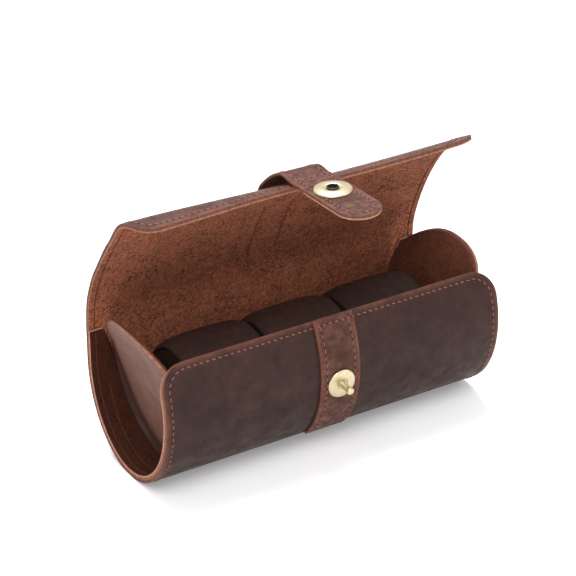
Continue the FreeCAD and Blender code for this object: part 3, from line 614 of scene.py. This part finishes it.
def cap_disc(name, side, depth, thick, stuff, reach=1.0, fold=FOLD_ROUND):
    """Disc of a cap, a depth inside its outer face: a ringed circle, bent, then made solid."""
    bpy.ops.object.select_all(action="DESELECT")
    bpy.ops.mesh.primitive_circle_add(vertices=CAP_VERTICES, radius=1, fill_type="NGON")
    item = bpy.context.object
    item.name = item.data.name = name
    with editing(item):
        for ring in [0.015] * 4 + [0.03] * 4 + [0.08] * 9:
            bpy.ops.mesh.inset(thickness=ring)
        bpy.ops.mesh.poke()
    disc = points_of(item)
    radius, turn = np.hypot(disc[:, 0], disc[:, 1]), np.arctan2(disc[:, 1], disc[:, 0])
    edge_y, edge_z = cap_outline(turn, side)
    middle = MIDDLE_Z - 6 * MM
    y, z = edge_y * radius * reach, middle + (edge_z - middle) * radius * reach
    inward = np.hypot(edge_y, edge_z - middle) * (1 - radius * reach)
    low = 1 - ease((np.sin(turn) + 0.7) / 1.1)
    rise = fold - np.sqrt(np.maximum(fold ** 2 - np.maximum(fold - inward, 0) ** 2, 0))
    belly = 1.2 * MM * (1 - radius ** 2) * np.sin(turn * 2 + 1.0)
    x = cap_x(z, side) - depth + rise * low + belly * 0.4
    set_points(item, np.stack([side * x, y, z], -1))
    # Painted shade: near its outline on the lower part, the disc blends to a dark colour where it folds into the
    # band.
    mark_wear_and_painted_light(item, (1 - ease((inward / MM - 1) / 5)) * (1 - ease((np.sin(turn) - 0.2) / 0.35)))
    with editing(item):
        bpy.ops.mesh.normals_make_consistent(inside=False)
    if item.data.polygons[0].normal.x * side < 0:
        item.data.flip_normals()
    for stuff_item in stuff:
        item.data.materials.append(stuff_item)
    shell = item.modifiers.new("thickness", "SOLIDIFY")
    shell.thickness, shell.offset = thick, -1
    shell.material_offset, shell.material_offset_rim = 1, 2
    soften(item, EDGE_ROUND, 60)
    for face in item.data.polygons:
        if face.material_index == 2 and face.center.z < MIDDLE_Z + 8 * MM:
            face.material_index = 0
    smooth(item)
    return item


def band_wrap(side):
    """Wrap for the band: its inner edge follows the fold of the cap."""
    def wrap(x, s, h):
        line = barrel(np.zeros_like(s), s, np.zeros_like(s))
        drop = np.clip(CORNER - (s - FRONT_S), 0, CORNER)
        outer = HALF_LEN - CORNER + np.sqrt(np.maximum(CORNER ** 2 - drop ** 2, 0))
        inner = np.minimum(cap_x(line[:, 2], side) + 0.5 * MM, outer - 0.05 * MM)
        share = (x - BAND_START) / (HALF_LEN - BAND_START)
        spots = barrel(x, s, h)
        spots[:, 0] = side * (inner + share * (outer - inner))
        return spots
    return wrap


def crease_wrap(side):
    """Wrap for the light crease along the band."""
    return lambda x, s, h: barrel(x, s, h) * np.array([side, 1, 1])


for side, word in ((1, "right"), (-1, "left")):
    disc = cap_disc(word + "_cap_face", side, 0.0, CAP_FACE, (cap_leather, cap_leather, raw_edge))
    inner = cap_disc(word + "_cap_suede", side, CAP_FACE, CAP_SUEDE, (cap_suede,) * 3, 0.988, 0.5 * MM)
    band = panel(word + "_cap_band", BAND_START, HALF_LEN, FRONT_S, -0.5 * MM, -BAND, 0)
    finish_panel(band, (band_leather, band_leather, pale_edge), band_wrap(side))
    crease = panel(word + "_cap_crease", 81.6 * MM, 81.9 * MM, FRONT_S + 14 * MM, -30 * MM, -BAND - 0.2 * MM,
                   -BAND)
    finish_panel(crease, (crease_light,) * 3, crease_wrap(side))
    if side < 0:
        band.data.flip_normals()
        crease.data.flip_normals()
    for piece in (disc, inner, band, crease):
        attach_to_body(piece, "case")
    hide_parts(word + "_end_cap")
    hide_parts(word + "_end_cap_lining")

# %% [markdown]
# ## Straps
# The front strap is sewn flat on the belly. The lid strap lies flat on the lid, bulges before the free
# edge, and runs on as the tongue, where a second layer backs it.

# %% Front strap
STRAP_X, STRAP_HALF = 0.8 * MM, 10.5 * MM
low_turn = -math.pi + math.asin((MIDDLE_Z - 9 * MM) / (HALF_HT + WALL))
LOW_S = float(np.interp(-low_turn, -turns, oval_s))
STRAP_EDGE, STRAP_RIMS = 0.4 * MM, (0.9, 1.8)


def strap_panel(name, s0, s1, h0, h1, **more):
    """Flat leather as wide as the strap."""
    return panel(name, STRAP_X - STRAP_HALF, STRAP_X + STRAP_HALF, s0, s1, h0, h1, step_x=2.5 * MM, **more)


def strap_pale_edges(x, s):
    """The straps are lighter along their edges."""
    off = abs(x - STRAP_X) / MM
    return 0.5 * ease((off - 9.2) / 0.9) + 0.16 * ease((off - 5.6) / 4)


front_strap = strap_panel("sewn_front_strap", FRONT_S + 0.2 * MM, LOW_S, WALL, WALL + STRAP, step_s=2 * MM,
                          edge=STRAP_EDGE, rims=STRAP_RIMS)
finish_panel(front_strap, (strap_leather, raw_edge, burnished_edge), wear_and_painted_light=strap_pale_edges)
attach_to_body(front_strap, "case")
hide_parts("front_strap")

# %% Lid strap and tongue
def punch(item):
    """Round hole for the socket through a flat piece."""
    bpy.ops.mesh.primitive_cylinder_add(vertices=48, radius=SOCKET_HOLE, depth=20 * MM,
                                        location=(STRAP_X, LID_LEN + TONGUE_GAP + SOCKET_ALONG, 0))
    cutter = bpy.context.object
    take(item)
    cut = item.modifiers.new("hole", "BOOLEAN")
    cut.operation, cut.object = "DIFFERENCE", cutter
    apply_all(item)
    bpy.data.objects.remove(cutter)


TONGUE_LEN, TONGUE_LINING, TONGUE_GAP = 48 * MM, 0.9 * MM, 0.6 * MM
SOCKET_ALONG, SOCKET_HOLE = 17 * MM - TONGUE_GAP, 2.95 * MM
# Corner radius of the strap and of the tongue's backing, which makes both ends of each round
END_ROUND = 10.4 * MM


def directions(angle):
    """Out of the leather and onwards along it, in y and z."""
    return np.array([math.sin(angle), -math.cos(angle)]), np.array([math.cos(angle), math.sin(angle)])


edge_out, edge_on = directions(FREE_ANGLE)
tongue_out, tongue_on = directions(math.radians(177))
TONGUE_START = FREE_EDGE + edge_out * WALL + edge_on * TONGUE_GAP


def tongue(x, along, h):
    """Place on the tongue: along it from its root, above its inner face."""
    x, along, h = (np.asarray(part, float) for part in (x, along, h))
    y = TONGUE_START[0] + tongue_on[0] * along + tongue_out[0] * h
    z = TONGUE_START[1] + tongue_on[1] * along + tongue_out[1] * h
    return np.stack([x, y, z], -1)


def bulge(s):
    """How far the lid strap stands off the lid."""
    rise = (s - FOLDS[3] + 6 * MM) / (15 * MM)
    fall = (LID_LEN + 1.5 * MM - s) / (12 * MM)
    return 4.5 * MM * ease(rise) * ease(fall)


def strap_skin(x, s, h):
    """Wrap for the lid strap: over the lid, over the bulge and out along the tongue."""
    x, s, h = (np.asarray(part, float) for part in (x, s, h))
    on_lid = barrel(x, s, WALL + bulge(s) + h)
    on_tongue = tongue(x, s - LID_LEN - TONGUE_GAP, TONGUE_LINING + h)
    share = ease((s - LID_LEN + 6 * MM) / (10 * MM))[:, None]
    return on_lid * (1 - share) + on_tongue * share


def tongue_wrap(x, s, h):
    """Wrap for the tongue's backing and its stitches."""
    return tongue(x, s - LID_LEN - TONGUE_GAP, h)


STRAP_START, TIP = FOLDS[1] + 0.3 * MM, LID_LEN + TONGUE_LEN
STRAP_CUTS = [None, MID[2], MID[3], MID[4], None]
STRAP_BODIES = [("lid_2", "lid_3", FOLDS[2]), ("lid_3", "lid_4", FOLDS[3]), ("lid_4", "lid_edge", FOLDS[4]),
                ("lid_edge", "tab", LID_LEN)]


def attach_strap(item, index):
    """Part of the strap between two bodies: its fold line is worked out, over a shorter way for the tongue, but
    nothing uses it; its transform is baked.
    """
    first, second, fold = STRAP_BODIES[index]
    half = 2.5 * MM if index == 3 else BEND_HALF
    start, end = bend_line(fold, strap_skin, half)
    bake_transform(item)


whole = strap_panel("strap", STRAP_START, TIP, 0, STRAP, corner=END_ROUND, step_s=1.5 * MM, edge=STRAP_EDGE,
                    rims=STRAP_RIMS)
punch(whole)
for index in range(4):
    piece = part_between(whole, "lid_strap_part_%d" % (index + 1), STRAP_CUTS[index], STRAP_CUTS[index + 1])
    finish_panel(piece, (strap_leather, raw_edge, burnished_edge), strap_skin, strap_pale_edges)
    attach_strap(piece, index)
bpy.data.objects.remove(whole)
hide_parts("lid_strap_2")
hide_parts("lid_strap_3")
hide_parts("lid_strap_4", "lid_strap_5")
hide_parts("tab_outer_leather")
backing = strap_panel("tongue_backing", LID_LEN + TONGUE_GAP, TIP, 0, TONGUE_LINING, corner=END_ROUND,
                      step_s=1.5 * MM)
punch(backing)
finish_panel(backing, (raw_edge, suede, pale_edge), tongue_wrap)
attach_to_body(backing, "tab")
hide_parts("tab_lining")

# %% [markdown]
# ## Brass
# The socket and the stud are turned parts: their sections are spun round an axis.

# %% Turned pieces
SPIN_STEPS, SAME_PLACE = 64, 1e-6


def turned(name, section, place, axis, stuff):
    """Spin a section of (radius, height) in mm round an axis through a place."""
    mesh = bpy.data.meshes.new(name)
    mesh.from_pydata([(r * MM, 0, z * MM) for r, z in section], [(k, k + 1) for k in range(len(section) - 1)], [])
    item = put(name, mesh)
    with editing(item):
        bpy.ops.mesh.spin(steps=SPIN_STEPS, angle=math.tau, center=(0, 0, 0), axis=(0, 0, 1))
        bpy.ops.mesh.select_all(action="SELECT")
        bpy.ops.mesh.remove_doubles(threshold=SAME_PLACE)
        bpy.ops.mesh.normals_make_consistent(inside=False)
    soften(item, 0.12 * MM, 28)
    item.data.transform(Matrix.Translation(place) @ Vector(axis).to_track_quat("Z", "Y").to_matrix().to_4x4())
    item.data.materials.append(stuff)
    smooth(item, 30)
    return item


def closed(points):
    """Section whose last point meets its first."""
    return points + points[:1]


out_axis = (0, tongue_out[0], tongue_out[1])
on_top = tongue([STRAP_X], [SOCKET_ALONG], [TONGUE_LINING + STRAP])[0]
beneath = tongue([STRAP_X], [SOCKET_ALONG], [0])[0]
ring = turned("socket_ring", closed([
    (2.95, 0), (8.85, 0), (8.85, 0.5), (8.5, 0.95), (7.9, 1.2), (7.3, 1.2), (6.6, 1.5), (5.0, 1.7), (3.9, 1.6),
    (3.4, 1.35), (2.95, 1.35)]), on_top, out_axis, brass)
bush = turned("socket_black_bush", closed([
    (2.25, 0), (2.9, 0), (2.9, 4.15), (2.7, 4.35), (2.4, 4.3), (2.25, 4.1)]), beneath, out_axis, bush_black)
under = turned("socket_under_plate", closed([(2.3, -0.8), (5.9, -0.8), (6.6, -0.5), (6.6, 0), (2.3, 0)]),
               beneath, out_axis, brass)
for piece, old in ((ring, "socket_disc"), (bush, "socket_bush"), (under, "socket_back_plate")):
    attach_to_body(piece, "tab")
    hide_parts(old)

low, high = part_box("stud_plate")
PEG_TILT, PLATE_SEAT = math.radians(3.5), 0.65 * MM
peg_axis = Vector((0, -math.cos(PEG_TILT), -math.sin(PEG_TILT)))
stud_middle = (Vector(low) + Vector(high)) / 2 - peg_axis * PLATE_SEAT
plate = turned("stud_round_plate", closed([
    (1.05, 0), (7.2, 0), (7.2, 0.4), (6.7, 0.95), (5.6, 1.2), (3.6, 1.3), (2.9, 1.25), (2.6, 0.75),
    (1.05, 0.7)]), stud_middle, peg_axis, brass)
peg = turned("stud_flared_peg", [
    (0, -4.8), (1.0, -4.8), (1.0, 0.7), (2.1, 0.7), (1.85, 1.2), (1.6, 1.8), (1.5, 5.4), (1.6, 6.3), (1.8, 7.1),
    (1.85, 7.8), (1.55, 8.4), (0.9, 8.7), (0, 8.7)], stud_middle, peg_axis, brass)
for piece, old in ((plate, "stud_plate"), (peg, "stud_peg")):
    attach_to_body(piece, "case")
    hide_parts(old)
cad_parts["stud_washer"].material_slots[0].material = brass

# %% [markdown]
# ## Stitching
# One stitch is modelled once. Its points are copied along each row on the flat pattern, a dark mark of
# painted shade for the hole between every two, and the row is wrapped with the leather that it holds.

# %% Stitches
PITCH = 3.2 * MM
STITCH_TILT = 0.10
HOLE_SIZE = (0.55, 0.46, 0.1)
bpy.ops.object.select_all(action="DESELECT")
bpy.ops.mesh.primitive_uv_sphere_add(segments=8, ring_count=6, radius=1, rotation=(0, math.radians(90), 0))
bpy.ops.object.transform_apply(location=True, rotation=True, scale=True)
bead = bpy.context.object
BEAD_POINTS = points_of(bead).copy()
BEAD_FACES = [tuple(face.vertices) for face in bead.data.polygons]
bpy.data.objects.remove(bead)
bpy.context.view_layer.update()


def walk(points):
    """Even steps along a path of the flat pattern: places and directions."""
    line = np.asarray(points, float)
    steps = np.hypot(*np.diff(line, axis=0).T)
    run = np.concatenate([[0], np.cumsum(steps)])
    count = max(1, round(run[-1] / PITCH))
    at = (np.arange(count) + 0.5) * run[-1] / count
    spots = np.stack([np.interp(at, run, line[:, k]) for k in (0, 1)], -1)
    ahead = np.stack([np.interp(at + PITCH / 4, run, line[:, k]) - np.interp(at - PITCH / 4, run, line[:, k])
                      for k in (0, 1)], -1)
    return spots, np.arctan2(ahead[:, 1], ahead[:, 0])


def seam(name, points, height, wrap, fasten, inner=False, cuts=(None, None), size=(1.08, 0.31, 0.24),
         stuffs=(thread, painted_hole_shade)):
    """Sew a row: thread and holes, in one object for each part of the leather below. Sizes in mm."""
    spots, angles = walk(points)
    level = height(spots[:, 0], spots[:, 1]) if callable(height) else np.full(len(spots), height)
    groups = np.searchsorted(np.array(cuts[1:-1], float), spots[:, 1])
    for index in np.unique(groups):
        for kind, stuff, shape, tilt, shift in (("thread", stuffs[0], size, STITCH_TILT, 0.0),
                                                ("holes", stuffs[1], HOLE_SIZE, 0.0, 0.5)):
            blob = BEAD_POINTS * np.array(shape) * MM
            blocks, faces = [], []
            for order, k in enumerate(np.where(groups == index)[0]):
                turn = angles[k] + tilt
                spin = np.array([[math.cos(turn), -math.sin(turn)], [math.sin(turn), math.cos(turn)]])
                place = spots[k] + np.array([math.cos(angles[k]), math.sin(angles[k])]) * PITCH * shift
                blocks.append(np.concatenate([blob[:, :2] @ spin.T + place,
                                              blob[:, 2:] * (-1 if inner else 1) + level[k]], -1))
                start = order * len(blob)
                faces += [tuple(v + start for v in (face[::-1] if inner else face)) for face in BEAD_FACES]
            mesh = bpy.data.meshes.new("%s_%s_%d" % (name, kind, index))
            mesh.from_pydata(wrap(*np.concatenate(blocks).T).tolist(), [], faces)
            mesh.materials.append(stuff)
            mesh.shade_smooth()
            fasten(put(mesh.name, mesh), index)


def rounded_path(x0, x1, s0, s1, radius):
    """Closed path with round corners: low left, low right, high right, high left."""
    path = []
    for cx, cs, first in ((x0, s0, 180), (x1, s0, 270), (x1, s1, 0), (x0, s1, 90)):
        mx, ms = cx + (radius if cx == x0 else -radius), cs + (radius if cs == s0 else -radius)
        for angle in np.radians(np.linspace(first, first + 90, 9)):
            path.append((mx + radius * math.cos(angle), ms + radius * math.sin(angle)))
    return path + path[:1]


INSET, ROW_END, LIFT = 3.2 * MM, 3 * MM, 0.05 * MM
border = rounded_path(-HALF_LEN + INSET, HALF_LEN - INSET, FRONT_S + INSET, LID_LEN - INSET, CORNER - INSET)


def outer_level(x, s):
    """The border row runs over both straps at the sheet's two ends."""
    over = (abs(x - STRAP_X) < STRAP_HALF) & ((s < FRONT_S + 8 * MM) | (s > LID_LEN - 8 * MM))
    return np.where(over, WALL + STRAP + LIFT, WALL + LIFT)


def inner_level(x, s):
    """On the belly's ends the row lies on the cap's band."""
    on_band = (abs(x) > HALF_LEN - 8 * MM) & (s < -0.5 * MM)
    return np.where(on_band, -BAND - LIFT, -LIFT)


seam("border_outer", border, outer_level, barrel, attach, cuts=CUTS)
SUNK = (sunk_thread, sunk_thread)
seam("border_inner", border, inner_level, barrel, attach, inner=True, cuts=CUTS, stuffs=SUNK)

# Rows along both sides of the straps, round the tongue's tip and across the lid's free edge
ROW = STRAP_HALF - 3.0 * MM
LEFT, RIGHT = STRAP_X - ROW, STRAP_X + ROW
for name, x in (("left", LEFT), ("right", RIGHT)):
    seam("front_strap_" + name, [(x, FRONT_S + ROW_END), (x, LOW_S - ROW_END)], WALL + STRAP + LIFT, barrel,
         lambda item, index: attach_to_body(item, "case"))
ROUND_FROM = TIP - STRAP_HALF
tip_path = [(LEFT, ROUND_FROM)] + [(STRAP_X + ROW * math.cos(a), ROUND_FROM + ROW * math.sin(a))
                                   for a in np.radians(np.linspace(180, 0, 17))]
cross_half, cross_s = STRAP_HALF - 0.6 * MM, LID_LEN - 0.6 * MM
seam("strap_cross", [(STRAP_X - cross_half, cross_s), (STRAP_X + cross_half, cross_s)], STRAP + LIFT, strap_skin,
     attach_strap, cuts=STRAP_CUTS)
for name, x in (("left", LEFT), ("right", RIGHT)):
    seam("strap_inside_" + name, [(x, STRAP_START + ROW_END), (x, FOLDS[3])], -LIFT, barrel, attach, inner=True,
         cuts=CUTS, size=(0.5, 0.85, 0.12), stuffs=SUNK)
seam("lid_strap", [(LEFT, STRAP_START + ROW_END)] + tip_path + [(RIGHT, STRAP_START + ROW_END)], STRAP + LIFT,
     strap_skin, attach_strap, cuts=STRAP_CUTS)
seam("tongue_under", [(LEFT, LID_LEN + 2 * MM)] + tip_path + [(RIGHT, LID_LEN + 2 * MM)], -LIFT, tongue_wrap,
     lambda item, index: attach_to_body(item, "tab"), inner=True)

# %% [markdown]
# ## Pillows
# Three pillows fill the barrel. Each is a foam block in a leather sleeve, sewn to a round piece at both
# ends, so it is fullest in its middle and pulls in at the seams.

# %% Pillows
PILLOW_LEN, PILLOW_GAP = 44 * MM, 0.6 * MM
PILLOW_W, PILLOW_HT = 26.6 * MM, 29.6 * MM
PILLOW_Z = WALL - 0.2 * MM + PILLOW_HT
PILLOW_REST = 2.1 * MM


def pillow(name, middle, seed):
    """Cushion round X from a ringed cylinder, full in the middle and gathered at its end seams."""
    bpy.ops.object.select_all(action="DESELECT")
    bpy.ops.mesh.primitive_cylinder_add(vertices=96, radius=1, depth=2, rotation=(0, math.radians(90), 0),
                                        end_fill_type="NGON")
    item = bpy.context.object
    item.name = item.data.name = name
    bpy.ops.object.transform_apply(location=True, rotation=True, scale=True)
    bpy.ops.object.mode_set(mode="EDIT")
    bpy.ops.mesh.select_mode(type="FACE")
    bpy.ops.mesh.select_all(action="DESELECT")
    bpy.ops.object.mode_set(mode="OBJECT")
    for face in item.data.polygons:
        face.select = len(face.vertices) > 4
    bpy.ops.object.mode_set(mode="EDIT")
    for ring in (0.02, 0.02, 0.03, 0.05, 0.1, 0.15, 0.2, 0.2):
        bpy.ops.mesh.inset(thickness=ring, use_individual=True)
    bpy.ops.mesh.poke()
    bpy.ops.mesh.select_mode(type="VERT")
    bpy.ops.object.mode_set(mode="OBJECT")
    cut_lines(item, np.round([-0.985, *np.linspace(-0.95, 0.95, 25), 0.985], 4), [])
    co = points_of(item)
    radius, turn = np.hypot(co[:, 1], co[:, 2]), np.arctan2(co[:, 2], co[:, 1])
    u = co[:, 0]
    rng = np.random.default_rng(seed)
    puckers = sum(a * np.sin(k * turn + p) for k, a, p in zip(
        (7, 11, 17, 23), (0.5, 0.4, 0.3, 0.2), rng.uniform(0, 6.3, 4)))
    near_seam = np.exp(-((1 - abs(u)) / 0.16) ** 2)
    crown = -0.06 * near_seam - 0.035 * (abs(u) ** 2) - 0.012 * near_seam * puckers * (radius > 0.9)
    crown -= 0.05 * np.exp(-((1 - abs(u)) / 0.035) ** 2)
    swell = np.where(abs(u) > 0.999, 0.9 * MM * (1 - radius ** 2) - 1.3 * MM, 0)
    x = u * (PILLOW_LEN / 2) + np.sign(u) * swell
    reach = radius + crown * radius
    y, z = PILLOW_W * reach * np.cos(turn), PILLOW_HT * reach * np.sin(turn)
    set_points(item, np.stack([x + middle, y, np.maximum(z + PILLOW_Z, PILLOW_REST)], -1))
    item.data.materials.append(pillow_leather)
    round_off = item.modifiers.new("round off", "SUBSURF")
    round_off.levels = round_off.render_levels = 1
    apply_all(item)
    smooth(item, 60)
    return item


for k, word in ((-1, "left"), (0, "middle"), (1, "right")):
    cushion = pillow(word + "_cushion", k * (PILLOW_LEN + PILLOW_GAP), 3 + k)
    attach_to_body(cushion, word + "_pillow")
    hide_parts(*["pillow_%s_%s" % (word, part) for part in ("core", "cover", "end_pieces")])

# %% [markdown]
# ## Floor and light
# Floor and world look white from the camera and in the brass, but light the case more softly than that.
# Three large lamps give it its shadow: a key at the front left, a fill and a back light.

# %% Floor and light
def seen_directly(tree):
    """1 for the background as the camera, metal and glass see it, 0 where it only lights the object."""
    rays = node(tree, "LightPath")
    direct = maths(tree, "ADD", rays.outputs["Is Camera Ray"], rays.outputs["Is Glossy Ray"])
    return maths(tree, "ADD", direct, rays.outputs["Is Transmission Ray"], True)


bpy.ops.object.select_all(action="DESELECT")
bpy.ops.mesh.primitive_plane_add(size=6, location=(0, 0, -0.0002))
floor = bpy.context.object
floor.name = "floor"
floor_white, tree, shader = material("floor white")
shader.inputs["Base Color"].default_value = (0.9, 0.9, 0.9, 1)
shader.inputs["Roughness"].default_value = 0.9
shader.inputs["Emission Color"].default_value = (1, 1, 1, 1)
spot = node(tree, "TexCoord").outputs["Object"]
away = node(tree, "VectorMath", {0: spot}, operation="LENGTH").outputs["Value"]
glow = maths(tree, "MULTIPLY", seen_directly(tree), ranged(tree, away, 0.3, 1.3, 0.2, 1.0))
tree.links.new(glow, shader.inputs["Emission Strength"])
floor.data.materials.append(floor_white)
world = bpy.data.worlds.new("world")
bpy.context.scene.world = world
world.use_nodes = True
sky = world.node_tree
backdrop = sky.nodes["Background"]
backdrop.inputs["Color"].default_value = (1, 1, 1, 1)
sky.links.new(maths(sky, "ADD", maths(sky, "MULTIPLY", seen_directly(sky), 0.4), 0.6), backdrop.inputs["Strength"])


def soft_box(name, place, aim, wide, watts):
    """Large square lamp that looks at a point."""
    lamp = bpy.data.lights.new(name, "AREA")
    lamp.size, lamp.energy = wide, watts
    facing = (Vector(place) - Vector(aim)).to_track_quat("Z", "Y").to_matrix().to_4x4()
    put(name, lamp).matrix_world = Matrix.Translation(place) @ facing


soft_box("key light", (-0.6, -0.7, 1.2), (0, 0, 0.06), 0.8, 11)
soft_box("fill light", (1.0, -0.7, 0.7), (0, 0, 0.06), 0.9, 3)
soft_box("back light", (0.15, 0.5, 1.3), (0, 0, 0.08), 0.8, 18)
bpy.context.scene.view_settings.view_transform = "Standard"
